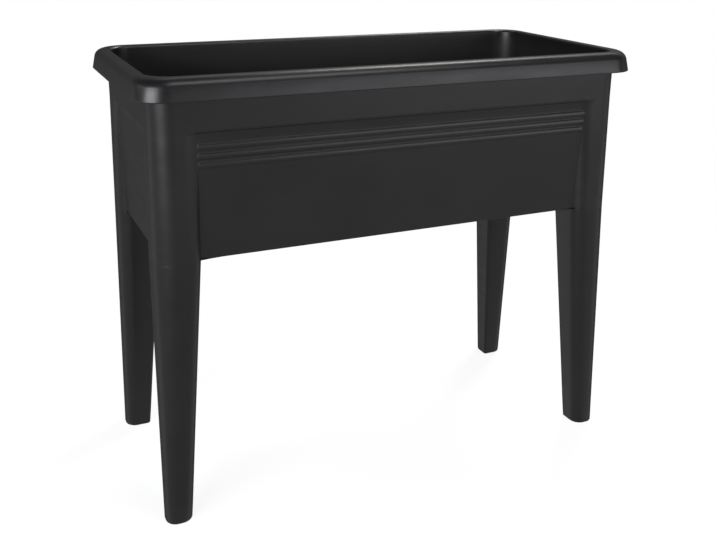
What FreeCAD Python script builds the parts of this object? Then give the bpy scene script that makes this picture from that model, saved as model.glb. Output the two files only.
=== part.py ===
import FreeCAD, Part
import math
import os

os.makedirs("parts", exist_ok=True)
Vector = FreeCAD.Vector

# A raised garden bed: a moulded plastic trough with a turned-down rim, standing on four tapered
# hollow legs. Each leg plugs into a socket inside one of the trough's corner posts and clicks
# there. A drain plug with a seal closes the trough's floor from below.
# Millimetres. +Z is up, the front faces -Y, the origin is on the ground under the centre.

# Overall size
length = 755.0
width = 352.0
height = 625.0

# Trough: depths from the rim's top down, corner radius of the walls, and the moulded wall
trough_depth = 245.0
rim_drop = 29.6
header_height = 42.5
header_radius = 29.0
wall = 3.5
floor_rise = 18.0

# Rim: a rounded inner edge, a broad shoulder and an apron that flares outward to its lower edge
rim_corner_radius = 42.0
rim_overhang = 20.4
rim_wall = 3.0
rim_flare = 5.5
rim_edge_radius = 1.2
shoulder_radius = 14.0
opening_radius = 33.0
inner_edge_radius = 5.0

# Panels: set back under the header band, leaning inward to their lower edge
panel_step = 5.0
panel_lean = 5.5

# Reeds: rounded ridges across both long panels
reed_count = 3
reed_first = 18.5
reed_pitch = 12.0
reed_width = 8.0
reed_height = 2.2

# Corner posts: they grow wider and lean outward on the way down, and run on into the legs
post_width = 63.0
post_taper = 1.5
post_lean = 3.0
post_side_radius = 21.0
post_inner_radius = 5.0
smallest_radius = 0.8

# Sockets in the posts, and the spigots that fill them
socket_height = 88.0
spigot_clearance = 0.3
spigot_end_gap = 4.0
spigot_wall = 2.5

# Legs
foot_width = 38.0
foot_outer_radius = 15.5
foot_side_radius = 17.0
foot_inset = 13.5
foot_edge_radius = 2.5
leg_wall = 3.0
leg_shoulder = 4.0

# Snap tongue on each spigot, and the window that its hook clicks into
hook_reach = 2.2
hook_width = 14.0
hook_height = 7.0
hook_rise = 5.0
tongue_length = 30.0
tongue_slot = 2.0
window_clearance = 0.4

# Ribs under the floor
rib_thickness = 2.5
rib_depth = 11.0
cross_rib_count = 6
cross_rib_pitch = 96.0
long_rib_spacing = 116.0

# Drain in the middle of the floor
drain_bore_radius = 13.0
drain_boss_radius = 17.5
drain_boss_depth = 7.0
drain_dish_radius = 32.0
drain_dish_depth = 1.5

# Drain plug and its seal
plug_clearance = 0.8
plug_flange_radius = 20.0
plug_flange = 3.0
plug_grip_length = 30.0
plug_grip_thickness = 5.0
plug_grip_height = 7.5
plug_grip_radius = 1.5
plug_recess = 0.8
seal_section_radius = 1.5
seal_gap = 0.3
seal_side_gap = 0.2

# Heights, radii and offsets that follow from the values above
z_rim = height - rim_drop
z_panel = z_rim - header_height
z_deck = z_panel + wall
z_bottom = height - trough_depth
z_floor = z_bottom + floor_rise
z_floor_top = z_floor + wall
z_socket = z_bottom + socket_height
z_roof = z_socket + wall
z_boss = z_floor - drain_boss_depth
spigot_length = socket_height - spigot_end_gap
spigot_offset = wall + spigot_clearance
opening_inset = rim_overhang + wall
post_inset = rim_overhang - post_lean
beyond = 1.0

CORNERS = {
    "front_left": (-1, -1),
    "front_right": (1, -1),
    "rear_left": (-1, 1),
    "rear_right": (1, 1),
}


def mix(start, end, share):
    """The value at a share of the way from start to end."""
    return start + (end - start) * share


def rounded_outline(corners):
    """A closed wire through (point, radius) corners; a radius above 0 rounds its corner."""
    count = len(corners)
    turns = []
    for i, (point, radius) in enumerate(corners):
        back = (corners[i - 1][0] - point).normalize()
        ahead = (corners[(i + 1) % count][0] - point).normalize()
        half_angle = back.getAngle(ahead) / 2
        inward = (back + ahead).normalize()
        reach = radius / math.tan(half_angle)
        crown = point + inward * (radius / math.sin(half_angle) - radius)
        turns.append((point + back * reach, crown, point + ahead * reach))
    edges = []
    for i, (start, crown, end) in enumerate(turns):
        if corners[i][1] > 0:
            edges.append(Part.Arc(start, crown, end).toShape())
        edges.append(Part.makeLine(end, turns[(i + 1) % count][0]))
    return Part.Wire(edges)


def loft(sections):
    """A solid with straight rulings through closed sections."""
    return Part.makeLoft(sections, True, True)


def block(x_span, y_span, z_span):
    """A box from its low and high coordinate on each axis."""
    size = [high - low for low, high in (x_span, y_span, z_span)]
    return Part.makeBox(*size, Vector(x_span[0], y_span[0], z_span[0]))


def at_corner(shape, side_x, side_y):
    """A shape built at the rear right corner, mirrored to another corner."""
    if side_x < 0:
        shape = shape.mirror(Vector(0, 0, 0), Vector(1, 0, 0))
    if side_y < 0:
        shape = shape.mirror(Vector(0, 0, 0), Vector(0, 1, 0))
    return shape


def at_all_corners(shape):
    """Four copies of a shape built at the rear right corner."""
    return [at_corner(shape, side_x, side_y) for side_x, side_y in CORNERS.values()]


def rectangle(inset, z, radius):
    """The overall outline moved inward, at a height, with rounded corners."""
    x = length / 2 - inset
    y = width / 2 - inset
    points = [(x, y), (-x, y), (-x, -y), (x, -y)]
    return rounded_outline([(Vector(px, py, z), radius) for px, py in points])


def corner_section(inset, side, outer_radius, side_radius, inner_radius, z):
    """Section of a post or leg: a square with a broad outer corner and a tight inner one."""
    x = length / 2 - inset
    y = width / 2 - inset
    return rounded_outline([
        (Vector(x, y, z), outer_radius),
        (Vector(x - side, y, z), side_radius),
        (Vector(x - side, y - side, z), inner_radius),
        (Vector(x, y - side, z), side_radius),
    ])


def post_section(z, offset):
    """Section of the rear right post at a height, moved inward by an offset."""
    share = (z - z_bottom) / (z_panel - z_bottom)
    lean = mix(post_lean, 0, share)
    side = post_width - post_taper * share
    return corner_section(
        rim_overhang - lean + offset,
        side - 2 * offset,
        header_radius + lean - offset,
        post_side_radius - offset,
        max(post_inner_radius - offset, smallest_radius),
        z,
    )


def leg_section(z, offset):
    """Section of the rear right leg at a height, moved inward by an offset."""
    share = z / z_bottom
    return corner_section(
        mix(foot_inset, post_inset, share) + offset,
        mix(foot_width, post_width, share) - 2 * offset,
        mix(foot_outer_radius, header_radius + post_lean, share) - offset,
        mix(foot_side_radius, post_side_radius, share) - offset,
        max(post_inner_radius - offset, smallest_radius),
        z,
    )


def panel_inset(z):
    """How far the panels' outer face lies inside the overall outline at a height."""
    share = (z_panel - z) / (z_panel - z_bottom)
    return rim_overhang + panel_step + panel_lean * share


def panel_section(z, offset):
    """Section inside the four leaning panel faces, moved inward, round the header's corner centres."""
    inset = panel_inset(z) + offset
    return rectangle(inset, z, header_radius + rim_overhang - inset)


def panel_body(z_low, z_high, offset):
    """The space inside the four leaning panel faces between two heights."""
    return loft([panel_section(z_low, offset), panel_section(z_high, offset)])


def prism(outline, z_high):
    """A level outline drawn up to a height."""
    return Part.Face(outline).extrude(Vector(0, 0, z_high - outline.BoundBox.ZMin))


def round_level(solid, z, radius, inset):
    """Round the edges that lie at one height, within the overall outline moved inward."""
    tolerance = 0.01
    x = length / 2 - inset + tolerance
    y = width / 2 - inset + tolerance
    edges = []
    for edge in solid.Edges:
        box = edge.BoundBox
        level = abs(box.ZMin - z) < tolerance and abs(box.ZMax - z) < tolerance
        if level and box.XMax < x and box.XMin > -x and box.YMax < y and box.YMin > -y:
            edges.append(edge)
    return solid.makeFillet(radius, edges)


def rim_and_header():
    """The turned-down rim, and the header band under it."""
    apron = loft([
        rectangle(0, z_rim, rim_corner_radius),
        rectangle(rim_flare, height, rim_corner_radius - rim_flare),
    ])
    apron = round_level(apron, height, shoulder_radius, 0)
    apron = round_level(apron, z_rim, rim_edge_radius, 0)
    z_under = height - rim_wall
    under = loft([
        rectangle(rim_wall, z_rim - beyond, rim_corner_radius - rim_wall),
        rectangle(rim_flare + rim_wall, z_under, rim_corner_radius - rim_flare - rim_wall),
    ])
    under = round_level(under, z_under, shoulder_radius - rim_wall, 0)
    header = prism(rectangle(rim_overhang, z_panel, header_radius), height - rim_wall / 2)
    opening = prism(rectangle(opening_inset, z_panel - beyond, opening_radius), height + beyond)
    ring = apron.cut(under.cut(header)).fuse(header).cut(opening)
    return round_level(ring, height, inner_edge_radius, opening_inset)


def reeds():
    """Rounded ridges along the front panel, each an arc standing on the leaning face."""
    x = length / 2 - post_inset - post_width + post_side_radius
    ridges = []
    for i in range(reed_count):
        z = z_panel - reed_first - i * reed_pitch
        z_span = (z + reed_width / 2, z - reed_width / 2)
        top, foot = [Vector(-x, panel_inset(edge) - width / 2, edge) for edge in z_span]
        crown = Vector(-x, panel_inset(z) - width / 2 - reed_height, z)
        root = Vector(0, wall / 2, 0)
        arc = Part.Arc(top, crown, foot).toShape()
        back = Part.makePolygon([foot, foot + root, top + root, top])
        face = Part.Face(Part.Wire([arc] + back.Edges))
        ridges.append(face.extrude(Vector(2 * x, 0, 0)))
    return ridges


def floor_ribs(space):
    """A grid of ribs under the floor, ending at the walls around the given space."""
    y_end = width / 2
    x_end = length / 2
    z_span = (z_floor - rib_depth, z_floor)
    half = rib_thickness / 2
    ribs = []
    for i in range(cross_rib_count):
        x = (i - (cross_rib_count - 1) / 2) * cross_rib_pitch
        ribs.append(block((x - half, x + half), (-y_end, y_end), z_span))
    for y in (-long_rib_spacing / 2, long_rib_spacing / 2):
        ribs.append(block((-x_end, x_end), (y - half, y + half), z_span))
    return ribs[0].fuse(ribs[1:]).common(space)


def hook_places():
    """Where the rear right spigot's hook stands: its face's x, its middle's y and its foot's z."""
    share = (hook_rise + hook_height / 2) / (z_panel - z_bottom)
    side = post_width - post_taper * share
    x = length / 2 - rim_overhang + mix(post_lean, 0, share) - side + spigot_offset
    flat_middle = (side + post_side_radius - post_inner_radius) / 2
    y = width / 2 - post_inset - flat_middle
    return x, y, z_bottom + hook_rise


def snap_window():
    """The opening in the rear right socket's inner wall for the hook."""
    x, y, z = hook_places()
    half = hook_width / 2 + window_clearance
    z_span = (z - window_clearance, z + hook_height + window_clearance)
    return block((x - spigot_offset - beyond, x - spigot_clearance / 2), (y - half, y + half), z_span)


def planter_trough():
    """The trough: rim, header band, panels with reeds, posts with sockets, floor and drain."""
    post = loft([post_section(z_bottom, 0), post_section(z_panel, 0)])
    deck = prism(rectangle(rim_overhang, z_panel, header_radius), z_deck)
    front_reeds = reeds()
    rear_reeds = [at_corner(reed, 1, -1) for reed in front_reeds]
    outside = panel_body(z_bottom, z_panel, 0)
    outside = outside.fuse(at_all_corners(post) + [deck] + front_reeds + rear_reeds)
    outside = outside.fuse(rim_and_header())

    socket = loft([post_section(z_bottom, 0), post_section(z_roof, 0)])
    sockets = at_all_corners(socket)
    planting_space = panel_body(z_floor_top, z_deck + beyond, wall).cut(sockets)
    post_space = loft([post_section(z_roof, wall), post_section(z_deck + beyond, wall)])
    under_floor = panel_body(z_bottom - beyond, z_floor, wall).cut(sockets)
    pocket = loft([post_section(z_bottom - beyond, wall), post_section(z_socket, wall)])

    shell = outside.cut([planting_space, under_floor] + at_all_corners(post_space))
    shell = shell.cut(at_all_corners(pocket) + at_all_corners(snap_window()))

    boss = Part.makeCylinder(drain_boss_radius, drain_boss_depth + wall / 2, Vector(0, 0, z_boss))
    shell = shell.fuse([floor_ribs(under_floor), boss])
    bore_length = z_floor_top - z_boss + 2 * beyond
    bore = Part.makeCylinder(drain_bore_radius, bore_length, Vector(0, 0, z_boss - beyond))
    dish = Part.makeCone(
        drain_bore_radius, drain_dish_radius, drain_dish_depth, Vector(0, 0, z_floor_top - drain_dish_depth)
    )
    return shell.cut([bore, dish]).removeSplitter()


def leg():
    """The rear right leg: a hollow tapered shell with a shoulder, a spigot and a snap tongue."""
    shell = loft([leg_section(0, 0), leg_section(z_bottom, 0)])
    ground_edges = [edge for edge in shell.Edges if edge.BoundBox.ZMax < foot_edge_radius]
    shell = shell.makeFillet(foot_edge_radius, ground_edges)
    z_spigot = z_bottom + spigot_length
    spigot = loft([post_section(z_bottom, spigot_offset), post_section(z_spigot, spigot_offset)])
    z_shoulder = z_bottom - leg_shoulder
    hollow = loft([leg_section(leg_wall, leg_wall), leg_section(z_shoulder, leg_wall)])
    bore_offset = spigot_offset + spigot_wall
    bore = loft([post_section(z, bore_offset) for z in (z_shoulder - beyond, z_spigot + beyond)])
    body = shell.fuse(spigot).cut([hollow, bore])

    x, y, z = hook_places()
    half = hook_width / 2
    foot = Vector(x, y - half, z)
    tip = Vector(x - hook_reach, y - half, z)
    top = Vector(x, y - half, z + hook_height)
    root = Vector(spigot_wall / 2, 0, 0)
    wedge = Part.makePolygon([foot, tip, top, top + root, foot + root, foot])
    hook = Part.Face(wedge).extrude(Vector(0, hook_width, 0))
    slot_x = (x - beyond, x + spigot_wall + beyond)
    z_slot = z - tongue_slot - window_clearance
    slots = [
        block(slot_x, (y - half - tongue_slot, y - half), (z_slot, z_slot + tongue_length)),
        block(slot_x, (y + half, y + half + tongue_slot), (z_slot, z_slot + tongue_length)),
        block(slot_x, (y - half, y + half), (z_slot, z_slot + tongue_slot)),
    ]
    return body.cut(slots).fuse(hook).removeSplitter()


def seal_height():
    """Height of the seal's middle, half way along the plug's stem."""
    return (z_boss + z_floor_top - drain_dish_depth - plug_recess) / 2


def drain_plug():
    """The plug: a grooved stem in the drain's bore, a flange under the boss and a grip below."""
    stem_radius = drain_bore_radius - plug_clearance
    z_stem = z_floor_top - drain_dish_depth - plug_recess
    stem = Part.makeCylinder(stem_radius, z_stem - z_boss, Vector(0, 0, z_boss))
    flange = Part.makeCylinder(plug_flange_radius, plug_flange, Vector(0, 0, z_boss - plug_flange))
    groove_width = 2 * (seal_section_radius + seal_side_gap)
    z_groove = seal_height() - groove_width / 2
    groove_radius = drain_bore_radius - seal_gap - 2 * seal_section_radius
    groove = Part.makeCylinder(stem_radius + beyond, groove_width, Vector(0, 0, z_groove))
    groove = groove.cut(Part.makeCylinder(groove_radius, groove_width, Vector(0, 0, z_groove)))
    half_length = plug_grip_length / 2
    half = plug_grip_thickness / 2
    z_grip = z_boss - plug_flange
    grip = block((-half_length, half_length), (-half, half), (z_grip - plug_grip_height, z_grip))
    upright = [edge for edge in grip.Edges if edge.BoundBox.ZLength > plug_grip_radius]
    grip = grip.makeFillet(plug_grip_radius, upright)
    return stem.cut(groove).fuse([flange, grip]).removeSplitter()


def plug_seal():
    """The ring in the plug's groove."""
    ring_radius = drain_bore_radius - seal_gap - seal_section_radius
    return Part.makeTorus(ring_radius, seal_section_radius, Vector(0, 0, seal_height()))


planter_trough().exportStep("parts/planter_trough.step")
rear_right_leg = leg()
for corner, (side_x, side_y) in CORNERS.items():
    at_corner(rear_right_leg, side_x, side_y).exportStep("parts/leg_" + corner + ".step")
drain_plug().exportStep("parts/drain_plug.step")
plug_seal().exportStep("parts/plug_seal.step")
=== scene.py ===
# %% [markdown]
# # A raised garden bed, dressed in Blender
#
# The bed is a deep black trough of moulded plastic on four tapered legs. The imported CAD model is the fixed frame:
# it says where every piece is and how the drain plug moves. The cells below lay smooth numpy surfaces over the
# trough and the legs, give every piece a plastic or rubber finish, and set up a studio like the photograph's.

# %% Load the frame
import math

import bpy
import numpy as np
from mathutils import Matrix


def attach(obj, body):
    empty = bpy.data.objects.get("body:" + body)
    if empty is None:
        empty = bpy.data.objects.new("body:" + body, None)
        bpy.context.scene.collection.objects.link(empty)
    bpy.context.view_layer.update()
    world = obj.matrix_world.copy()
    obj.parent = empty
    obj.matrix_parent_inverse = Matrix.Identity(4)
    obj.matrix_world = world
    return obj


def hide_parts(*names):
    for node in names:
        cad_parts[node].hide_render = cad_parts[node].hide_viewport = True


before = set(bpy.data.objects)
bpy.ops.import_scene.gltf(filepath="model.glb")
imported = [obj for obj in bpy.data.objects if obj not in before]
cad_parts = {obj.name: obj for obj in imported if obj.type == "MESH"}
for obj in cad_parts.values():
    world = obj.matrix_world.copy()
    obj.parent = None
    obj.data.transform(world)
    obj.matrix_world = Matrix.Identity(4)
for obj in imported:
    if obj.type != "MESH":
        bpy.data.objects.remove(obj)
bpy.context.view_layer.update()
print("nodes:", sorted(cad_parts))

# %% [markdown]
# ## Sizes
#
# A mould maker draws a part from a short list of sizes, so the same list stands here in millimetres. Depths go down,
# rises go up from the trough's lower edge, and insets go inward from the overall outline. The heights above the
# ground follow from them. Blender works in metres, so one factor turns the finished points into metres.

# %% Sizes of the trough and the legs
MM = 0.001
HALF_LENGTH = 377.5
HALF_WIDTH = 176.0
HEIGHT = 625.0
RIM_DEPTH = 29.6
HEADER_DEPTH = 42.5
TROUGH_DEPTH = 245.0
FLOOR_RISE = 18.0
SOCKET_RISE = 88.0
WALL = 3.5

HEADER_INSET = 20.4
HEADER_RADIUS = 29.0
PANEL_STEP = 5.0
PANEL_LEAN = 5.5
POST_SIDE = 63.0
POST_TAPER = 1.5
POST_LEAN = 3.0
POST_BEND = 21.0
POST_INNER_RADIUS = 5.0

RIM_LOW = HEIGHT - RIM_DEPTH
HEADER_LOW = RIM_LOW - HEADER_DEPTH
TROUGH_LOW = HEIGHT - TROUGH_DEPTH
DECK = HEADER_LOW + WALL
FLOOR_UNDER = TROUGH_LOW + FLOOR_RISE
FLOOR_TOP = FLOOR_UNDER + WALL
SOCKET_ROOF = TROUGH_LOW + SOCKET_RISE + WALL
print("trough from", TROUGH_LOW, "to", HEIGHT, "mm, floor at", FLOOR_TOP, "mm")

# %% [markdown]
# ## One grid for one moulding
#
# The real trough is a single moulding: its skin runs unbroken from the drain, over the floor, up the inner walls,
# over the rim, down the outside, round the lower edge and back under the floor to the drain. That is a grid that is
# closed both ways, like a tyre's: one parameter runs round the bed and the other runs along the skin. Boxes joined
# by Booleans would need cleaning up afterwards, while the grid gives even quads and smooth highlights.
#
# The helpers below turn such a grid into a mesh in whole arrays, and mark the edges that are really sharp.

# %% From a grid of points to a mesh
SHARP_ANGLE = math.radians(38)


def grid_faces(rows, columns, close_rows):
    """Quads between neighbours on a grid whose columns close; the last row joins the first if close_rows."""
    last = rows if close_rows else rows - 1
    row, column = np.meshgrid(np.arange(last), np.arange(columns), indexing="ij")
    below = (row + 1) % rows
    beside = (column + 1) % columns
    corners = (row * columns + column, row * columns + beside, below * columns + beside, below * columns + column)
    return np.stack(corners, axis=-1).reshape(-1, 4)


def enclosed_volume(points, faces):
    """Six times the volume inside quads, by adding the signed volumes of tetrahedra on the origin."""
    a, b, c, d = (points[faces[:, i]] for i in range(4))
    return np.einsum("ij,ij->", a, np.cross(b, c) + np.cross(c, d))


def skin_mesh(name, shells):
    """One mesh object from shells of (points in mm, quads), with every shell's faces turned outwards."""
    start = 0
    all_points, all_faces = [], []
    for points, faces in shells:
        faces = faces if enclosed_volume(points, faces) > 0 else faces[:, ::-1]
        all_points.append(points)
        all_faces.append(faces + start)
        start += len(points)
    mesh = bpy.data.meshes.new(name)
    mesh.from_pydata(np.concatenate(all_points) * MM, [], np.concatenate(all_faces))
    mesh.update()
    mesh.polygons.foreach_set("use_smooth", np.ones(len(mesh.polygons), dtype=bool))
    mesh.set_sharp_from_angle(angle=SHARP_ANGLE)
    piece = bpy.data.objects.new(name, mesh)
    bpy.context.scene.collection.objects.link(piece)
    print(name, "has", len(mesh.vertices), "points and", len(mesh.polygons), "faces")
    return piece


# %% [markdown]
# ## A quarter of a loop
#
# The bed is the same in all four corners, so each loop round it is worked out for one quarter, from the middle of the
# right end, round the corner, to the middle of the rear side, and then mirrored three times. Every loop has the same
# columns, so any two loops can be joined. Columns crowd together at the corner and where a post rises out of a panel,
# because that is where the surface bends. The counts below are for the four runs of a side: from its middle to the
# crease beside the post, across the crease, up the post's round, and along the post's flat.

# %% Columns of a quarter
END_COUNTS = (5, 8, 9, 3)
REAR_COUNTS = (10, 8, 9, 3)
CORNER_COUNT = 18


def runs(knots, counts):
    """Numbers that run through the knots, with counts[i] even steps from knot i to the next."""
    steps = [np.linspace(a, b, n, endpoint=False) for a, b, n in zip(knots[:-1], knots[1:], counts)]
    return np.concatenate([*steps, knots[-1:]])


def mirrored(quarter):
    """A closed loop from a quarter: the quarter and its mirror images, each without its last point."""
    back = quarter[::-1]
    parts = [quarter, back * (-1, 1), quarter * (-1, -1), back * (1, -1)]
    return np.concatenate([part[:-1] for part in parts])


def corner_arc(center_x, center_y, radius):
    """Quarter circle from the end face to the rear face, without its two end points."""
    angle = np.linspace(0, np.pi / 2, CORNER_COUNT + 1)[1:-1]
    return np.stack([center_x + radius * np.cos(angle), center_y + radius * np.sin(angle)], axis=1)


# %% [markdown]
# ## Posts and panels
#
# Between the posts the walls are flat panels, set back from the posts. On the real mould a post's side is a round
# that sinks until it meets the panel. So the set-back of the wall is the smaller of two depths: how far the post's
# round has sunk, and how far back the panel lies. A smooth minimum leaves the small fillet that every moulding has
# in such a crease.

# %% Depth behind a post's face
CREASE_FILLET = 1.3
CREASE_REACH = 2.6


def smooth_min(a, b, reach):
    """The smaller of a and b, rounded off by a parabola where they differ by less than reach."""
    near = np.maximum(reach - np.abs(a - b), 0)
    return np.minimum(a, b) - near**2 / (4 * reach)


def set_back(along, flat_start, bend, depth):
    """Depth behind the post's face: a circle of radius bend sinks from flat_start, down to the panel's depth."""
    reach = np.clip(flat_start - along, 0, bend)
    return smooth_min(bend - np.sqrt(bend**2 - reach**2), depth, CREASE_FILLET)


def side_columns(flat_start, arc_start, bend, depth, counts):
    """Places along a side, crowded about the crease, where the sinking circle reaches the panel's depth."""
    crease = flat_start - np.sqrt(bend**2 - (bend - depth) ** 2)
    return runs([0, crease - CREASE_REACH, crease + CREASE_REACH, flat_start, arc_start], counts)


# %% [markdown]
# The photograph shows the crease running straight down, although the panel lies deeper below than above. So the
# post's round is a circle through two points, the start of the sinking and the crease, and its radius follows the
# depth.

# %% The wall's outline at one height
LOWEST_DEPTH = PANEL_STEP + PANEL_LEAN + POST_LEAN
POST_REACH = math.sqrt(POST_BEND**2 - (POST_BEND - LOWEST_DEPTH) ** 2)


def post_place(z):
    """At a height: the post's inset and side, and the panel's depth behind its face."""
    share = (z - TROUGH_LOW) / (HEADER_LOW - TROUGH_LOW)
    lean = POST_LEAN * (1 - share)
    depth = PANEL_STEP + PANEL_LEAN * (1 - share) + lean
    return HEADER_INSET - lean, POST_SIDE - POST_TAPER * share, depth


def wall_quarter(z, offset=0.0, reed=0.0, shown=1.0, edge=0.0):
    """A quarter of the wall at a height, moved inward by an offset.

    The faces are rounded-rectangle sides, each set back by set_back() times shown. A reed makes the long panel
    shallower by its own height, and edge draws the panels, but not the posts, further in.
    """
    inset, side, depth = post_place(min(z, HEADER_LOW))
    bend = (POST_REACH**2 + depth**2) / (2 * depth) - offset
    radius = HEADER_RADIUS + HEADER_INSET - inset - offset
    x_face = HALF_LENGTH - inset - offset
    y_face = HALF_WIDTH - inset - offset
    x_flat = HALF_LENGTH - inset - side + POST_BEND
    y_flat = HALF_WIDTH - inset - side + POST_BEND
    x_arc = x_face - radius
    y_arc = y_face - radius
    y = side_columns(y_flat, y_arc, bend, depth, END_COUNTS)
    x = side_columns(x_flat, x_arc, bend, depth - reed, REAR_COUNTS)[::-1]
    deeper = shown + edge / depth
    end = np.stack([x_face - deeper * set_back(y, y_flat, bend, depth), y], axis=1)
    rear = np.stack([x, y_face - deeper * set_back(x, x_flat, bend, depth - reed)], axis=1)
    return np.concatenate([end, corner_arc(x_arc, y_arc, radius), rear])


# %% [markdown]
# ## Rounded rectangles and circles
#
# The rim's loops are plain rounded rectangles. They take their columns from the wall, stretched to their own length,
# so that rim and wall join without a twist. The drain's loops are circles.

# %% The rim's and the drain's loops
HEADER_QUARTER = wall_quarter(HEADER_LOW, shown=0.0)
END_TOTAL = sum(END_COUNTS) + 1
REAR_TOTAL = sum(REAR_COUNTS) + 1
END_SHARE = HEADER_QUARTER[:END_TOTAL, 1] / HEADER_QUARTER[END_TOTAL - 1, 1]
REAR_SHARE = HEADER_QUARTER[-REAR_TOTAL:, 0] / HEADER_QUARTER[-REAR_TOTAL, 0]
COLUMNS = len(HEADER_QUARTER)


def rim_quarter(inset, radius):
    """A rounded rectangle: two straight sides that share the wall's columns, and a quarter circle."""
    x = HALF_LENGTH - inset
    y = HALF_WIDTH - inset
    end = np.stack([np.full(END_TOTAL, x), END_SHARE * (y - radius)], axis=1)
    rear = np.stack([REAR_SHARE * (x - radius), np.full(REAR_TOTAL, y)], axis=1)
    return np.concatenate([end, corner_arc(x - radius, y - radius, radius), rear])


def circle_quarter(radius):
    """A quarter circle with even angles."""
    angle = np.linspace(0, np.pi / 2, COLUMNS)
    return radius * np.stack([np.cos(angle), np.sin(angle)], axis=1)


print("each loop has", 4 * (COLUMNS - 1), "points")

# %% [markdown]
# Low inside the trough the leg sockets stand in the corners, so there the loop steps round a square notch with a
# rounded corner.

# %% The floor's outline
NOTCH_STEPS = 9


def notch_quarter(z, shrink=0.0):
    """The outline between the panels' inner faces, stepping round the socket; shrink moves it from the walls."""
    inset, side, depth = post_place(z)
    x = HALF_LENGTH - inset - depth - WALL - shrink
    y = HALF_WIDTH - inset - depth - WALL - shrink
    x_notch = HALF_LENGTH - inset - side - shrink
    y_notch = HALF_WIDTH - inset - side - shrink
    round_in = POST_INNER_RADIUS + shrink
    angle = np.linspace(-np.pi / 2, -np.pi, NOTCH_STEPS)
    bend_x = x_notch + round_in * (1 + np.cos(angle))
    bend_y = y_notch + round_in * (1 + np.sin(angle))
    middle = END_TOTAL + (CORNER_COUNT - 1) / 2
    half = (NOTCH_STEPS - 1) / 2
    turn = np.linspace(middle - half, middle + half, NOTCH_STEPS)
    index = [0, sum(END_COUNTS[:2]), *turn, COLUMNS - 1 - sum(REAR_COUNTS[:2]), COLUMNS - 1]
    column = np.arange(COLUMNS)
    path_x = np.interp(column, index, [x, x, *bend_x, x_notch, 0])
    path_y = np.interp(column, index, [0, y_notch, *bend_y, y, y])
    return np.stack([path_x, path_y], axis=1)


# %% [markdown]
# ## Along the skin: drain, floor and inner walls
#
# Now the second parameter. The skin starts in the drain's bore, spreads over a shallow dish and the floor, and climbs
# the inner walls past the sockets to the small step where the wall thickens under the rim. Small rounds are given as
# pairs: how far a row lies in from the wall, and how far from the floor.

# %% Rows from the drain to the rim's step
DRAIN_RADIUS = 13.0
DISH_RADIUS = 32.0
DISH_DEPTH = 1.5
BOSS_DEPTH = 7.0
BOSS_LOW = FLOOR_UNDER - BOSS_DEPTH
BORE_ROUND = 0.5
BORE_LIP = 0.4
FILLET = 2.0
FILLET_STEPS = ((1.0, 0.27), (0.27, 1.0), (0.0, FILLET))
SOCKET_FIRST_ROW = 20.0
SOCKET_ROWS = 4
ROOF_SLOPE = 0.4
WALL_ROWS = 6
STEP_HALF = 1.2

skin = []


def add_row(quarter, z):
    """Append one loop of the skin at a height."""
    loop = mirrored(quarter)
    skin.append(np.column_stack([loop, np.full(len(loop), z)]))


dish_low = FLOOR_TOP - DISH_DEPTH
for radius, z in ((DRAIN_RADIUS, BOSS_LOW + BORE_ROUND), (DRAIN_RADIUS, dish_low - BORE_LIP),
                  (DRAIN_RADIUS + BORE_ROUND, dish_low), (DISH_RADIUS, FLOOR_TOP)):
    add_row(circle_quarter(radius), z)
floor_edge = notch_quarter(FLOOR_TOP, FILLET)
for share in (0.25, 0.5, 0.75, 1.0):
    add_row(circle_quarter(DISH_RADIUS) * (1 - share) + floor_edge * share, FLOOR_TOP)
for shrink, rise in FILLET_STEPS:
    add_row(notch_quarter(FLOOR_TOP, shrink), FLOOR_TOP + rise)
for z in np.linspace(FLOOR_TOP + SOCKET_FIRST_ROW, SOCKET_ROOF - ROOF_SLOPE, SOCKET_ROWS):
    add_row(notch_quarter(z), z)
for z in np.linspace(SOCKET_ROOF + ROOF_SLOPE, DECK - STEP_HALF, WALL_ROWS):
    add_row(wall_quarter(z, WALL), z)
print(len(skin), "rows from the drain to the step")

# %% [markdown]
# A step in a moulding is never a sharp ledge: it turns out, runs and turns back, and all of it within a few
# millimetres. The arrays below give the shares of such a step, so that the wall can fade from one outline to another.

# %% The step inside
OPENING_INSET = HEADER_INSET + WALL
OPENING_RADIUS = 33.0
STEP_RISE = np.array([1.0, 0.62, 0.30, 0.1, -0.1, -0.30, -0.62, -1.0])
STEP_SHARE = np.array([0.0, 0.07, 0.2, 0.36, 0.64, 0.8, 0.93, 1.0])

lower = wall_quarter(DECK - STEP_HALF, WALL)
upper = rim_quarter(OPENING_INSET, OPENING_RADIUS)
for rise, share in zip(-STEP_RISE[1:], STEP_SHARE[1:]):
    add_row(lower * (1 - share) + upper * share, DECK + STEP_HALF * rise)

# %% [markdown]
# ## The rim
#
# The rim is what a hand meets first: a rounded inner edge, a broad soft shoulder, and an apron that flares out to its
# lower edge and hides the wall's top. Its profile is a chain of arcs and straights, given here as (inset, height):
# first the side that shows, then the hidden side back to the header.

# %% The rim's profile
INNER_EDGE = 5.0
RIM_FLARE = 5.5
RIM_WALL = 3.0
RIM_EDGE = 1.2
LIP_ROUND = 0.6
SHOULDER = 14.0
HIDDEN_ROUND = np.array([[-1.5, 0.0], [-0.4, -0.4], [0.0, -1.5]])


def arc(inset, z, radius, start, end, count):
    """Points of a circle about (inset, z); an angle of 0 looks inward across the bed, 90 degrees looks up."""
    angle = np.radians(np.linspace(start, end, count))
    return np.stack([inset + radius * np.cos(angle), z + radius * np.sin(angle)], axis=1)


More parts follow.
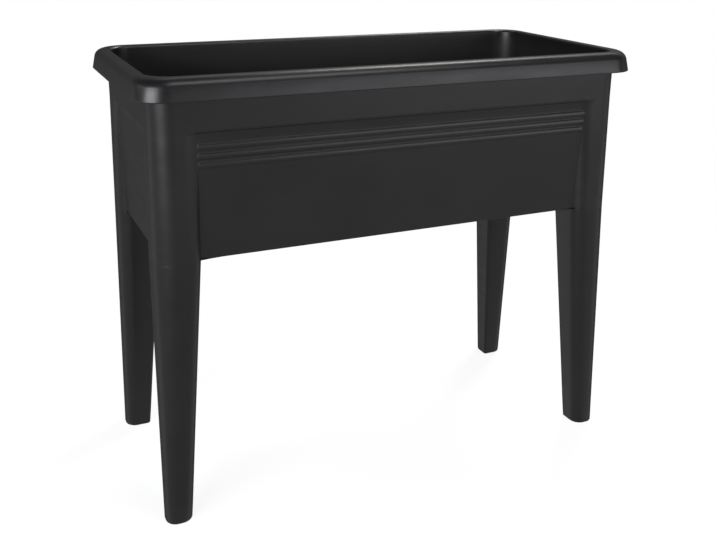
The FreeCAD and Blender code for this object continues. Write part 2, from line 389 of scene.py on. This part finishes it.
flare_angle = math.degrees(math.atan2(RIM_FLARE, HEIGHT - RIM_LOW))
flare_at = np.poly1d([RIM_FLARE / (HEIGHT - RIM_LOW), -RIM_FLARE * RIM_LOW / (HEIGHT - RIM_LOW)])
slant = 1 / math.cos(math.radians(flare_angle))
tilt = 180 - flare_angle
shoulder_inset = flare_at(HEIGHT - SHOULDER) + SHOULDER * slant
edge_inset = flare_at(RIM_LOW + RIM_EDGE) + RIM_EDGE * slant
outer = np.concatenate([
    arc(OPENING_INSET - INNER_EDGE, HEIGHT - INNER_EDGE, INNER_EDGE, 0, 90, count=12),
    arc(shoulder_inset, HEIGHT - SHOULDER, SHOULDER, 90, tilt, count=20),
    arc(edge_inset, RIM_LOW + RIM_EDGE, RIM_EDGE, tilt, 270, count=6),
])
inner = np.concatenate([
    arc(RIM_WALL - LIP_ROUND, RIM_LOW + LIP_ROUND, LIP_ROUND, -90, 0, count=4),
    arc(shoulder_inset, HEIGHT - SHOULDER, SHOULDER - RIM_WALL, tilt, 90, count=8),
    HIDDEN_ROUND + (HEADER_INSET, HEIGHT - RIM_WALL),
])
print("rim profile of", len(outer) + len(inner), "points, flaring", round(flare_angle, 1), "degrees")

# %% [markdown]
# Each point of the profile is carried round the bed, and the corner's radius goes over smoothly from the apron's to
# the opening's. The rows before the profile are the trough's inside, so their number is kept for the finish.

# %% Rows of the rim
RIM_RADIUS = 42.0
COLLAR_RISES = (12.0, 40.0)

for rise in COLLAR_RISES:
    add_row(rim_quarter(OPENING_INSET, OPENING_RADIUS), DECK + rise)
inside_rows = len(skin)
outer_radius = RIM_RADIUS + (OPENING_RADIUS - RIM_RADIUS) * outer[:, 0] / OPENING_INSET
inner_radius = np.maximum(RIM_RADIUS - inner[:, 0], HEADER_RADIUS)
for profile, radii in ((outer, outer_radius), (inner, inner_radius)):
    for (inset, z), radius in zip(profile, radii):
        add_row(rim_quarter(inset, radius), z)
print(inside_rows, "rows inside,", len(skin) - inside_rows, "rows for the rim")

# %% [markdown]
# ## The outside: header, ledge, reeds and lower edge
#
# Under the apron a plain header band runs round the bed. Below it the panels step back in a soft ledge, and three
# rounded reeds run along each long panel. Each reed swells gently from above and turns back sharply below, and it
# dies into the posts by itself, because the wall takes whichever stands further out.

# %% Rows of the header and its ledge
HEADER_ROWS = (RIM_LOW - 5, HEADER_LOW + 20, HEADER_LOW + 2 * STEP_HALF)
LEDGE_HALF = 2.6
LEDGE_DROP = 1.5

for z in HEADER_ROWS:
    add_row(rim_quarter(HEADER_INSET, HEADER_RADIUS), z)
for rise, share in zip(STEP_RISE, STEP_SHARE):
    z = HEADER_LOW - LEDGE_DROP + LEDGE_HALF * rise
    add_row(wall_quarter(z, shown=share), z)

# %% [markdown]
# The crown of the first reed lies some way under the header, and the others follow at an even pitch. A reed is less
# than two millimetres high, so its rows are set close together. The panel below needs few rows, because it is flat.

# %% Rows of the reeds, the panel and the lower edge
REED_FIRST = 22.4
REED_PITCH = 12.0
REED_RISE = 6.6
REED_FALL = 2.6
REED_HEIGHT = 1.7
REED_POWER = 2.2
REED_COUNT = 3
REED_ROWS = 90
REED_MARGIN = 1.0
PANEL_FIRST_ROW = 6.0
PANEL_ROWS = 10
EDGE_ROUND = 1.3
QUARTER_ROUND = np.radians([0, 22.5, 45, 67.5, 90])


def reed_height(z):
    """Height of the reeds at z.

    Above its crown a reed falls off by a power of the distance, nearly as a parabola. Below it is a quarter ellipse.
    """
    crowns = HEADER_LOW - REED_FIRST - REED_PITCH * np.arange(REED_COUNT)
    above = np.asarray(z)[:, None] - crowns
    share = np.where(above > 0, 1 - (np.abs(above) / REED_RISE) ** REED_POWER,
                     np.sqrt(np.maximum(1 - (above / REED_FALL) ** 2, 0)))
    return REED_HEIGHT * np.maximum(share, 0).max(axis=1)


reeds_top = HEADER_LOW - REED_FIRST + REED_RISE + REED_MARGIN
reeds_low = HEADER_LOW - REED_FIRST - REED_PITCH * (REED_COUNT - 1) - REED_FALL - REED_MARGIN
z_reeds = np.linspace(reeds_top, reeds_low, REED_ROWS)
for z, height in zip(z_reeds, reed_height(z_reeds)):
    add_row(wall_quarter(z, reed=height), z)
for z in np.linspace(reeds_low - PANEL_FIRST_ROW, TROUGH_LOW + 2.5 * EDGE_ROUND, PANEL_ROWS):
    add_row(wall_quarter(z), z)
for turn in QUARTER_ROUND:
    z = TROUGH_LOW + EDGE_ROUND * (1 - math.sin(turn))
    add_row(wall_quarter(z, edge=EDGE_ROUND * (1 - math.cos(turn))), z)

# %% [markdown]
# ## Under the floor
#
# Inside the lower edge the skin climbs to the floor's underside and runs in to the drain's boss, where it meets the
# bore that it started from. There the grid closes, so the skin has no open edge anywhere.

# %% Rows under the floor, and the whole skin
LOWER_ROUND = ((-0.8, 0.0), (-0.2, 0.2), (0.0, 0.8))
UNDER_FILLET = 1.5
UNDER_STEPS = ((0.0, UNDER_FILLET), (0.4, 0.4), (UNDER_FILLET, 0.0))
BOSS_RADIUS = 17.5
BOSS_FILLET = 1.0

for shrink, rise in LOWER_ROUND:
    add_row(notch_quarter(TROUGH_LOW, shrink), TROUGH_LOW + rise)
for shrink, drop in UNDER_STEPS:
    add_row(notch_quarter(FLOOR_UNDER, shrink), FLOOR_UNDER - drop)
under_edge = notch_quarter(FLOOR_UNDER, UNDER_FILLET)
for share in (0.3, 0.65, 1.0):
    add_row(under_edge * (1 - share) + circle_quarter(BOSS_RADIUS + BOSS_FILLET) * share, FLOOR_UNDER)
for radius, z in ((BOSS_RADIUS, FLOOR_UNDER - BOSS_FILLET), (BOSS_RADIUS, BOSS_LOW + BORE_ROUND),
                  (BOSS_RADIUS - BORE_ROUND, BOSS_LOW), (DRAIN_RADIUS + BORE_ROUND, BOSS_LOW)):
    add_row(circle_quarter(radius), z)
trough_points = np.concatenate(skin)
trough_faces = grid_faces(len(skin), len(skin[0]), True)
print("skin of", len(skin), "rows")

# %% [markdown]
# ## Ribs
#
# A thin floor would sag under wet soil, so a grid of ribs is moulded under it. Each rib is a narrow strip with a
# rounded lower edge: one profile carried from wall to wall. They could be cut from cubes, but then their edges would
# be knife-sharp, and the light would show it. They reach a little into the floor and the walls, as moulded ribs do.

# %% Ribs under the floor
RIB_THICKNESS = 2.5
RIB_DEPTH = 11.0
RIB_ROUND = 0.7
RIB_ROUND_MIDDLE = 0.2
RIB_SINK = 1.0
CROSS_RIB_PITCH = 96.0
CROSS_RIB_COUNT = 6
LONG_RIB_SPACING = 116.0


def rib(start, end):
    """A strip carried from start to end: a U-shaped profile, rounded at its lower edge and sunk into the floor."""
    start, end = np.array(start), np.array(end)
    along = (end - start) / np.linalg.norm(end - start)
    across = np.array([-along[1], along[0]])
    half = RIB_THICKNESS / 2
    low = FLOOR_UNDER - RIB_DEPTH
    side = np.array([half, half, half - RIB_ROUND_MIDDLE, half - RIB_ROUND])
    level = np.array([FLOOR_UNDER + RIB_SINK, low + RIB_ROUND, low + RIB_ROUND_MIDDLE, low])
    profile = np.concatenate([np.stack([side, level], axis=1), np.stack([-side, level], axis=1)[::-1]])
    rows = []
    for place in (start, start, end, end):
        flat = place + profile[:, :1] * across
        rows.append(np.column_stack([flat, profile[:, 1]]))
    rows[0] = np.broadcast_to(rows[0].mean(axis=0), rows[0].shape)
    rows[3] = np.broadcast_to(rows[3].mean(axis=0), rows[3].shape)
    return np.concatenate(rows), grid_faces(4, len(profile), False)


x_wall, y_wall = notch_quarter(FLOOR_UNDER, -RIB_SINK)[[0, -1]].max(axis=0)
cross = CROSS_RIB_PITCH * (np.arange(CROSS_RIB_COUNT) - (CROSS_RIB_COUNT - 1) / 2)
ribs = [rib((x, -y_wall), (x, y_wall)) for x in cross]
ribs += [rib((-x_wall, y), (x_wall, y)) for y in (-LONG_RIB_SPACING / 2, LONG_RIB_SPACING / 2)]
print(len(ribs), "ribs")

# %% [markdown]
# Skin and ribs become one mesh, as they are one moulding. An attribute marks the points of the trough's inside, so
# that the finish can tell them from the outside: it paints them paler, as painted fill light, and makes them more
# matt. The piece rides on the bed's body and takes the CAD trough's place.

# %% The trough
trough = skin_mesh("trough", [(trough_points, trough_faces), *ribs])
inside = np.zeros(len(trough.data.vertices), dtype=np.float32)
inside[: inside_rows * len(skin[0])] = 1
trough.data.attributes.new("inside", "FLOAT", "POINT").data.foreach_set("value", inside)
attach(trough, "bed")
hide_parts("planter_trough")

# %% [markdown]
# ## The legs
#
# A leg's section is a square with a broad outer corner, rounded sides and a tight inner corner, as the post's is. It
# shrinks towards the foot while the outside stays almost upright. Its skin is a grid too: from the middle of the
# foot's sole, round the foot's edge, up the outside, over the shoulder that carries the trough, up the spigot that
# hides in the post, and down inside the hollow leg to its floor.

# %% A leg's loops
FOOT_SIDE = 38.0
FOOT_OUTER = 15.5
FOOT_BEND = 17.0
FOOT_INSET = 13.5
SMALLEST_RADIUS = 0.8
ARC_STEPS = np.linspace(0, np.pi / 2, 10)


def leg_loop(z, offset=0.0):
    """A loop of the rear right leg or of its spigot: four quarter circles on the corners of a square."""
    if z <= TROUGH_LOW:
        share = z / TROUGH_LOW
        inset = FOOT_INSET + (HEADER_INSET - POST_LEAN - FOOT_INSET) * share
        side = FOOT_SIDE + (POST_SIDE - FOOT_SIDE) * share
        outer = FOOT_OUTER + (HEADER_RADIUS + POST_LEAN - FOOT_OUTER) * share
        bend = FOOT_BEND + (POST_BEND - FOOT_BEND) * share
    else:
        inset, side, _ = post_place(z)
        outer = HEADER_RADIUS + HEADER_INSET - inset
        bend = POST_BEND
    high = np.array([HALF_LENGTH, HALF_WIDTH]) - inset - offset
    low = high - side + 2 * offset
    inner = max(POST_INNER_RADIUS - offset, SMALLEST_RADIUS)
    corners = ((high[0], high[1], outer - offset, (-1, -1)), (low[0], high[1], bend - offset, (1, -1)),
               (low[0], low[1], inner, (1, 1)), (high[0], low[1], bend - offset, (-1, 1)))
    loop = []
    for quarter_turns, (x, y, radius, inward) in enumerate(corners):
        angle = ARC_STEPS + quarter_turns * np.pi / 2
        center = np.array([x, y]) + np.array(inward) * radius
        loop.append(center + radius * np.stack([np.cos(angle), np.sin(angle)], axis=1))
    return np.concatenate(loop)


# %% [markdown]
# The rows of a leg are stacked from those loops. The foot's edge is a quarter round, because a moulded foot never has
# a sharp rim. At the top a seam finer than a hair is left under the post, as on the real bed, where leg and post are
# pushed together but are still two pieces.

# %% The leg's skin
FOOT_ROUND = 2.5
LEG_FIRST_ROW = 25.0
LEG_ROWS = 16
LEG_WALL = 3.0
SEAM = 0.06
TOP_MARGIN = 0.5
TOP_ROUND = ((0.0, 0.2), (0.06, 0.06), (0.2, 0.0))
SPIGOT_GAP = 3.8
SPIGOT_WALL = 2.5
SPIGOT_TOP = TROUGH_LOW + 84.0
SPIGOT_ROUND = 0.6
SPIGOT_END = 1.0
HOLLOW_TOP = TROUGH_LOW - 4.0
HOLLOW_STEP = 0.5
HOLLOW_MIDDLE = 200.0

leg_rows = []


def add_leg_row(loop, z):
    """Append one loop of the leg's skin at a height."""
    leg_rows.append(np.column_stack([loop, np.full(len(loop), z)]))


sole = leg_loop(0.0, FOOT_ROUND)
for share in (0.0, 0.6):
    add_leg_row(sole.mean(axis=0) * (1 - share) + sole * share, 0.0)
for turn in QUARTER_ROUND:
    add_leg_row(leg_loop(0.0, FOOT_ROUND * (1 - math.sin(turn))), FOOT_ROUND * (1 - math.cos(turn)))
top = TROUGH_LOW - SEAM
for z in np.linspace(LEG_FIRST_ROW, top - TOP_MARGIN, LEG_ROWS):
    add_leg_row(leg_loop(z), z)
for offset, drop in (*TOP_ROUND, (SPIGOT_GAP, 0.0)):
    add_leg_row(leg_loop(top, offset), top - drop)
for z in (TROUGH_LOW + SPIGOT_END, SPIGOT_TOP - SPIGOT_END):
    add_leg_row(leg_loop(z, SPIGOT_GAP), z)
bore = SPIGOT_GAP + SPIGOT_WALL
for offset, z in ((SPIGOT_GAP + SPIGOT_ROUND, SPIGOT_TOP), (bore, SPIGOT_TOP), (bore, HOLLOW_TOP)):
    add_leg_row(leg_loop(z, offset), z)
for z in (HOLLOW_TOP - HOLLOW_STEP, HOLLOW_MIDDLE, LEG_WALL):
    add_leg_row(leg_loop(z, LEG_WALL), z)
inner_floor = leg_rows[-1]
leg_rows.append(np.broadcast_to(inner_floor.mean(axis=0), inner_floor.shape))
leg_points = np.concatenate(leg_rows)
leg_faces = grid_faces(len(leg_rows), len(leg_rows[0]), False)

# %% [markdown]
# The four legs are one shape in two hands. Mirroring the points, and not the object, keeps every object unturned and
# unscaled at the origin, so a finish that reads Object coordinates is true to scale on each leg.

# %% Four legs
CORNERS = {"front_left": (-1, -1), "front_right": (1, -1), "rear_left": (-1, 1), "rear_right": (1, 1)}
legs = {}
for corner, (side_x, side_y) in CORNERS.items():
    piece = skin_mesh("leg." + corner, [(leg_points * (side_x, side_y, 1), leg_faces)])
    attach(piece, "bed")
    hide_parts("leg_" + corner)
    legs[corner] = piece

# %% [markdown]
# ## Finishes
#
# A finish is a small network of shader nodes. Two helpers keep it readable: one makes a node and sets it up, and the
# other maps a value from one range to another.

# %% Helpers for shader nodes
def node(tree, kind, **settings):
    """A new shader node with the given settings; keys that name an input set its value."""
    made = tree.nodes.new(kind)
    for key, value in settings.items():
        if hasattr(made, key):
            setattr(made, key, value)
        else:
            made.inputs[key.replace("_", " ")].default_value = value
    return made


def ramp(tree, source, low, high, out_low, out_high):
    """Map a value from one range to another with a Map Range node, and give back its output."""
    made = node(tree, "ShaderNodeMapRange")
    for name, value in (("From Min", low), ("From Max", high), ("To Min", out_low), ("To Max", out_high)):
        made.inputs[name].default_value = value
    tree.links.new(source, made.inputs["Value"])
    return made.outputs["Result"]


# %% [markdown]
# The trough and legs are black-grey plastic from a mould with a fine eroded surface. Its colour drifts a little, and
# its edges are rubbed slightly pale. The trough's inside is painted in one colour, a shade paler, as painted fill
# light for the shade inside the trough. All of it reads Object coordinates, which are metres here, so a pattern has
# its true size everywhere.

# %% Colour of the plastic
NOISE_LOW, NOISE_HIGH = 0.3, 0.7
DRIFT_SCALE = 9.0
DRIFT_AMOUNT = 0.45
EDGE_LOW, EDGE_HIGH = 0.53, 0.62
EDGE_AMOUNT = 0.5
# The inside's colour below is painted fill light: a shade paler than the plastic, for the trough's shaded inside.
INSIDE_PAINTED_FILL_LIGHT = (0.0090, 0.0088, 0.0086)


def plastic_colour(tree, place, inside, dark, pale):
    """From dark to pale by the sum of slow noise and how pointed the surface is; inside, painted paler as fill light.
    """
    drift = node(tree, "ShaderNodeTexNoise", Scale=DRIFT_SCALE, Detail=3.0, Roughness=0.55)
    tree.links.new(place, drift.inputs["Vector"])
    pointed = node(tree, "ShaderNodeNewGeometry").outputs["Pointiness"]
    amount = node(tree, "ShaderNodeMath", operation="ADD", use_clamp=True)
    tree.links.new(ramp(tree, pointed, EDGE_LOW, EDGE_HIGH, 0.0, EDGE_AMOUNT), amount.inputs[0])
    tree.links.new(ramp(tree, drift.outputs["Fac"], NOISE_LOW, NOISE_HIGH, 0.0, DRIFT_AMOUNT), amount.inputs[1])
    outside = node(tree, "ShaderNodeMix", data_type="RGBA")
    outside.inputs["A"].default_value = (*dark, 1)
    outside.inputs["B"].default_value = (*pale, 1)
    tree.links.new(amount.outputs["Value"], outside.inputs["Factor"])
    both = node(tree, "ShaderNodeMix", data_type="RGBA")
    # Where inside is 1 the colour is painted paler, as painted fill light.
    both.inputs["B"].default_value = (*INSIDE_PAINTED_FILL_LIGHT, 1)
    tree.links.new(inside, both.inputs["Factor"])
    tree.links.new(outside.outputs["Result"], both.inputs["A"])
    return both.outputs["Result"]


# %% [markdown]
# The sheen is satin. Its roughness varies in faint streaks, where the plastic flowed, and the blasted inside is more
# matt. Seen at a grazing angle, the bumps of the grain stand in front of one another, so the gloss fades there.

# %% Roughness of the plastic
STREAK_SCALE = (14.0, 14.0, 70.0)
BLASTED_MATT = 0.12
GRAZING_LOW, GRAZING_HIGH = 0.4, 0.8
GRAIN_SHADOW = 0.6


def plastic_roughness(tree, place, inside, sheen):
    """Streaks of noise between the two values of sheen, plus BLASTED_MATT inside and GRAIN_SHADOW when grazing."""
    streak_place = node(tree, "ShaderNodeMapping", Scale=STREAK_SCALE)
    streaks = node(tree, "ShaderNodeTexNoise", Scale=1.0, Detail=2.0, Roughness=0.5)
    tree.links.new(place, streak_place.inputs["Vector"])
    tree.links.new(streak_place.outputs["Vector"], streaks.inputs["Vector"])
    facing = node(tree, "ShaderNodeLayerWeight", Blend=0.5).outputs["Facing"]
    more_matt = ramp(tree, inside, 0.0, 1.0, 0.0, BLASTED_MATT)
    hidden_gloss = ramp(tree, facing, GRAZING_LOW, GRAZING_HIGH, 0.0, GRAIN_SHADOW)
    total = ramp(tree, streaks.outputs["Fac"], NOISE_LOW, NOISE_HIGH, *sheen)
    for part in (more_matt, hidden_gloss):
        add = node(tree, "ShaderNodeMath", operation="ADD", use_clamp=True)
        tree.links.new(total, add.inputs[0])
        tree.links.new(part, add.inputs[1])
        total = add.outputs["Value"]
    return total


# %% [markdown]
# Last comes the grain itself, far finer than a millimetre, as a bump. The same recipe then makes all four finishes:
# the plug is a little greyer than the trough, and the rubber of its seal is almost matt.

# %% Four finishes
PLASTIC_IOR = 1.5
GRAIN_SCALE = 1500.0
GRAIN_STRENGTH = 0.25


def moulded_plastic(name, dark, pale, gloss, sheen, grain_depth):
    """Plastic with plastic_colour(), plastic_roughness() and a bump of fine noise, grain_depth metres high.

    gloss is the specular level, and sheen gives the lowest and highest roughness.
    """
    material = bpy.data.materials.new(name)
    material.use_nodes = True
    tree = material.node_tree
    shader = tree.nodes["Principled BSDF"]
    shader.inputs["IOR"].default_value = PLASTIC_IOR
    shader.inputs["Specular IOR Level"].default_value = gloss
    place = node(tree, "ShaderNodeTexCoord").outputs["Object"]
    inside = node(tree, "ShaderNodeAttribute", attribute_name="inside").outputs["Fac"]
    tree.links.new(plastic_colour(tree, place, inside, dark, pale), shader.inputs["Base Color"])
    tree.links.new(plastic_roughness(tree, place, inside, sheen), shader.inputs["Roughness"])
    grain = node(tree, "ShaderNodeTexNoise", Scale=GRAIN_SCALE, Detail=2.0, Roughness=0.6)
    tree.links.new(place, grain.inputs["Vector"])
    bump = node(tree, "ShaderNodeBump", Strength=GRAIN_STRENGTH, Distance=grain_depth)
    tree.links.new(grain.outputs["Fac"], bump.inputs["Height"])
    tree.links.new(bump.outputs["Normal"], shader.inputs["Normal"])
    return material


BLACK = (0.003, 0.003, 0.0032)
RUBBED = (0.006, 0.006, 0.0062)
SATIN = (0.31, 0.37)
trough_finish = moulded_plastic("trough_plastic", BLACK, RUBBED, gloss=0.2, sheen=SATIN, grain_depth=0.0002)
leg_finish = moulded_plastic("leg_plastic", BLACK, RUBBED, gloss=0.185, sheen=SATIN, grain_depth=0.0002)
plug_finish = moulded_plastic("plug_plastic", (0.010, 0.010, 0.0105), (0.018, 0.018, 0.018),
                              gloss=0.2, sheen=(0.38, 0.46), grain_depth=0.0001)
seal_finish = moulded_plastic("seal_rubber", (0.008, 0.008, 0.008), (0.016, 0.016, 0.016),
                              gloss=0.2, sheen=(0.62, 0.74), grain_depth=0.00015)

# %% [markdown]
# A piece shows a finish once its mesh carries the material. The drain plug and its seal keep their CAD meshes, which
# are already turned shapes with small radii, so only their materials are changed.

# %% Dress the pieces
trough.data.materials.append(trough_finish)
for piece in legs.values():
    piece.data.materials.append(leg_finish)
for name, finish in (("drain_plug", plug_finish), ("plug_seal", seal_finish)):
    cad_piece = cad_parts[name]
    cad_piece.data.materials.clear()
    cad_piece.data.materials.append(finish)
print("finishes:", [m.name for m in bpy.data.materials])

# %% [markdown]
# ## World, floor, light and camera
#
# The photograph has a plain white ground and soft light from both sides, from above and from behind. A dim even
# world fills in what no lamp reaches, and a wide floor carries the bed.

# %% World and floor
WORLD_LIGHT = 0.2
FLOOR_HALF = 40.0

world = bpy.data.worlds.new("studio")
bpy.context.scene.world = world
world.use_nodes = True
background = world.node_tree.nodes["Background"]
background.inputs["Color"].default_value = (1.0, 1.0, 1.0, 1)
background.inputs["Strength"].default_value = WORLD_LIGHT

floor_mesh = bpy.data.meshes.new("floor")
floor_corners = np.array([[-1, -1, 0], [1, -1, 0], [1, 1, 0], [-1, 1, 0]]) * FLOOR_HALF
floor_mesh.from_pydata(floor_corners, [], [[0, 1, 2, 3]])
floor = bpy.data.objects.new("floor", floor_mesh)
bpy.context.scene.collection.objects.link(floor)
print("floor of", 2 * FLOOR_HALF, "m")

# %% [markdown]
# The ground is white to the camera by a light-path switch, so no extra light falls on the bed. Near the bed a little
# of its plain paint is mixed in, so that the bed keeps a faint shadow, and further away the white is pure. The
# floor's back is clear, so that a camera under the floor sees the bed.

# %% White ground
PAINT = (0.86, 0.86, 0.86)
PAINT_ROUGHNESS = 0.9
SHADOW_NEAR = 0.5
SHADOW_FAR = 1.5
GLOW_NEAR = 0.88


def seen_directly(tree):
    """1 for rays from the camera, a mirror or glass, and 0 for others: the largest of three light-path flags."""
    path = node(tree, "ShaderNodeLightPath")
    largest = path.outputs["Is Camera Ray"]
    for flag in ("Is Glossy Ray", "Is Transmission Ray"):
        larger = node(tree, "ShaderNodeMath", operation="MAXIMUM")
        tree.links.new(largest, larger.inputs[0])
        tree.links.new(path.outputs[flag], larger.inputs[1])
        largest = larger.outputs["Value"]
    return largest


ground = bpy.data.materials.new("white_ground")
ground.use_nodes = True
tree = ground.node_tree
paint = tree.nodes["Principled BSDF"]
paint.inputs["Base Color"].default_value = (*PAINT, 1)
paint.inputs["Roughness"].default_value = PAINT_ROUGHNESS
paint.inputs["Specular IOR Level"].default_value = 0.0
away = node(tree, "ShaderNodeVectorMath", operation="LENGTH")
tree.links.new(node(tree, "ShaderNodeTexCoord").outputs["Object"], away.inputs[0])
share = node(tree, "ShaderNodeMath", operation="MULTIPLY")
tree.links.new(seen_directly(tree), share.inputs[0])
tree.links.new(ramp(tree, away.outputs["Value"], SHADOW_NEAR, SHADOW_FAR, GLOW_NEAR, 1.0), share.inputs[1])
glow = node(tree, "ShaderNodeEmission", Strength=1.0)
switch = node(tree, "ShaderNodeMixShader")
tree.links.new(share.outputs["Value"], switch.inputs["Fac"])
tree.links.new(paint.outputs["BSDF"], switch.inputs[1])
tree.links.new(glow.outputs["Emission"], switch.inputs[2])
one_sided = node(tree, "ShaderNodeMixShader")
tree.links.new(node(tree, "ShaderNodeNewGeometry").outputs["Backfacing"], one_sided.inputs["Fac"])
tree.links.new(switch.outputs["Shader"], one_sided.inputs[1])
tree.links.new(node(tree, "ShaderNodeBsdfTransparent").outputs["BSDF"], one_sided.inputs[2])
tree.links.new(one_sided.outputs["Shader"], tree.nodes["Material Output"].inputs["Surface"])
floor_mesh.materials.append(ground)

# %% [markdown]
# Black plastic has hardly any colour of its own, so what the eye reads as its shape is the reflection of lamps. Each
# lamp is placed by its direction from the bed, as a photographer sets up softboxes: the turn to the right of the
# front and the height above the ground, both in degrees, then the size in metres, the power in watts and the colour.

# %% Lamps
COOL = (0.95, 0.96, 1.0)
SKY = (0.96, 0.97, 1.0)
WARM = (1.0, 0.96, 0.92)
LAMPS = {
    "left_strip": (-56, 9, (1.2, 0.5), 71, COOL),
    "left_end": (-96, 18, (0.8, 0.5), 4, COOL),
    "right_low": (29, 6, (1.6, 0.5), 18, COOL),
    "high_window": (18, 50, (1.2, 0.8), 28, SKY),
    "rear_right": (126, 50, (0.5, 0.7), 50, WARM),
    "rear_high": (176, 60, (0.7, 0.7), 5, WARM),
}
LAMP_DISTANCE = 2.2
LAMP_TARGET = np.array([0.0, 0.0, 0.5])


def lamp_axes(azimuth, elevation):
    """The lamp's right, up and back directions; azimuth is degrees to the right of the bed's front, seen above."""
    turn, lift = math.radians(azimuth), math.radians(elevation)
    back = np.array([math.sin(turn) * math.cos(lift), -math.cos(turn) * math.cos(lift), math.sin(lift)])
    right = np.array([math.cos(turn), math.sin(turn), 0.0])
    return np.stack([right, np.cross(back, right), back], axis=1)


for name, (azimuth, elevation, size, power, colour) in LAMPS.items():
    lamp = bpy.data.lights.new(name, "AREA")
    lamp.shape = "RECTANGLE"
    lamp.size, lamp.size_y = size
    lamp.energy = power
    lamp.color = colour
    axes = lamp_axes(azimuth, elevation)
    place = LAMP_TARGET + LAMP_DISTANCE * axes[:, 2]
    holder = bpy.data.objects.new(name, lamp)
    holder.matrix_world = Matrix.Translation(place) @ Matrix(axes.tolist()).to_4x4()
    bpy.context.scene.collection.objects.link(holder)
print("lamps:", list(LAMPS))

# %% [markdown]
# The camera was found by fitting a pinhole to the photograph's edges: its place, its turn to the right, its tilt down,
# a touch of roll, its focal length in pixels, and how far the picture's middle lies below the lens axis.

# %% Camera
PICTURE_WIDTH = 716
PICTURE_HEIGHT = 540
CAMERA_PLACE = (-0.58301, -1.26144, 0.80657)
YAW = math.radians(24.550)
PITCH = math.radians(16.793)
ROLL = math.radians(0.672)
FOCAL_PIXELS = 921.29
AXIS_ROW = 200.0
SENSOR = 36.0

ahead = np.array([math.sin(YAW) * math.cos(PITCH), math.cos(YAW) * math.cos(PITCH), -math.sin(PITCH)])
right = np.array([math.cos(YAW), -math.sin(YAW), 0.0])
up = np.cross(right, ahead)
rolled_right = math.cos(ROLL) * right + math.sin(ROLL) * up
rolled_up = math.cos(ROLL) * up - math.sin(ROLL) * right
turn = Matrix(np.stack([rolled_right, rolled_up, -ahead], axis=1).tolist()).to_4x4()
lens = bpy.data.cameras.new("camera")
lens.sensor_fit = "HORIZONTAL"
lens.sensor_width = SENSOR
lens.lens = FOCAL_PIXELS / PICTURE_WIDTH * SENSOR
lens.shift_y = (AXIS_ROW - PICTURE_HEIGHT / 2) / PICTURE_WIDTH
camera = bpy.data.objects.new("camera", lens)
camera.matrix_world = Matrix.Translation(CAMERA_PLACE) @ turn
bpy.context.scene.collection.objects.link(camera)
bpy.context.scene.camera = camera
bpy.context.scene.view_settings.view_transform = "Standard"
print("lens of", round(lens.lens, 2), "mm, shift", round(lens.shift_y, 4))
